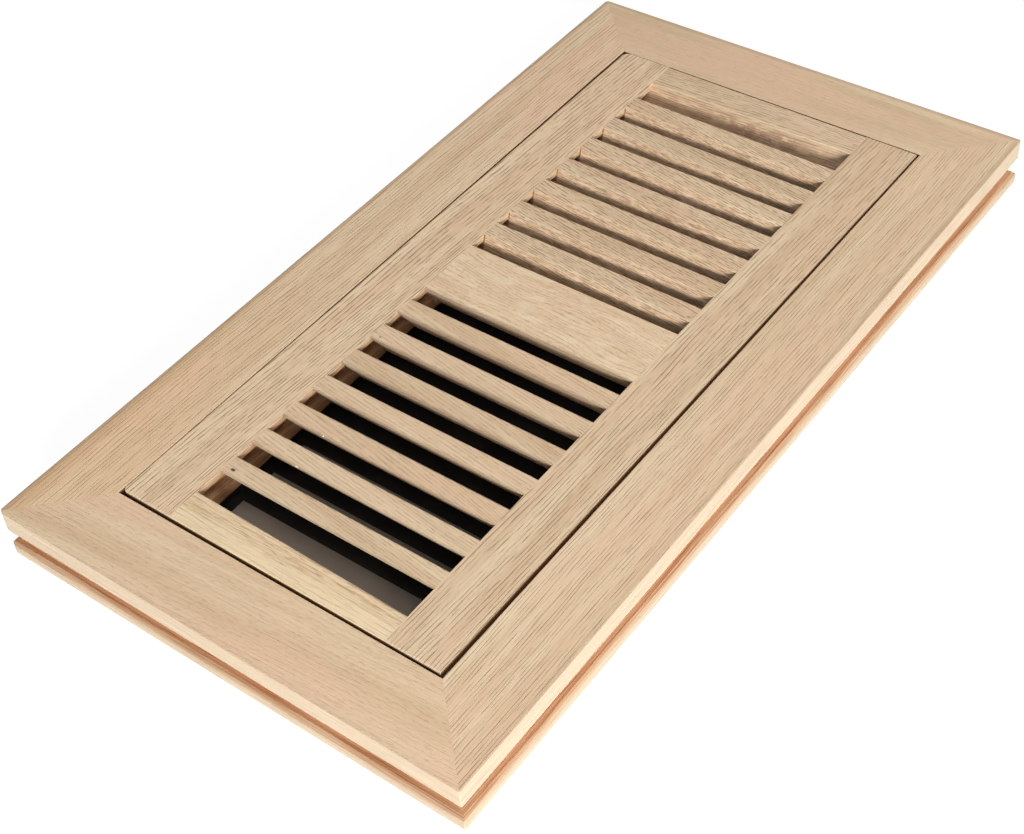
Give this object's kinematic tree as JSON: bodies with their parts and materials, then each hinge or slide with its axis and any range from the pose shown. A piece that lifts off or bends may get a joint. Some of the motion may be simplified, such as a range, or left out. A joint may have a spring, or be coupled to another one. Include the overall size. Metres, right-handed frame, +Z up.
{
  "type": "floor register",
  "caption": "Flush wooden floor register: mitred grooved frame with a drop-in two-way louvre grille and a sliding damper underneath.",
  "frame": {"origin": "middle of the frame's underside", "axes": "+Z up out of the floor, +Y along the long side towards the bank of slots that shows its slat faces in the picture, +X to the right"},
  "size_m": [0.1842, 0.3366, 0.0191],
  "materials": {
    "frame_oak": "sanded, unfinished",
    "grille_oak": "sanded, unfinished",
    "slat_oak": "sanded, unfinished",
    "black_sheet": "matt black",
    "grey_sheet": "satin grey",
    "screw_steel": "zinc plated"
  },
  "bodies": {
    "register": {"frame_rail_near": "frame_oak", "frame_rail_far": "frame_oak", "frame_rail_left": "frame_oak", "frame_rail_right": "frame_oak", "grille_stile_left": "grille_oak", "grille_stile_right": "grille_oak", "grille_rail_near": "grille_oak", "grille_rail_center": "grille_oak", "grille_rail_far": "grille_oak", "near_slat_1": "slat_oak", "near_slat_2": "slat_oak", "near_slat_3": "slat_oak", "near_slat_4": "slat_oak", "near_slat_5": "slat_oak", "near_slat_6": "slat_oak", "near_slat_7": "slat_oak", "far_slat_1": "slat_oak", "far_slat_2": "slat_oak", "far_slat_3": "slat_oak", "far_slat_4": "slat_oak", "far_slat_5": "slat_oak", "far_slat_6": "slat_oak", "far_slat_7": "slat_oak", "damper_tray": "black_sheet", "tray_screws": "screw_steel"},
    "slide": {"damper_slide": "grey_sheet"}
  },
  "joints": [
    {"name": "damper_travel", "type": "slide", "parent": "register", "child": "slide", "axis": [-0.0028, -1, 0], "range_m": [0, 0.0053]}
  ]
}
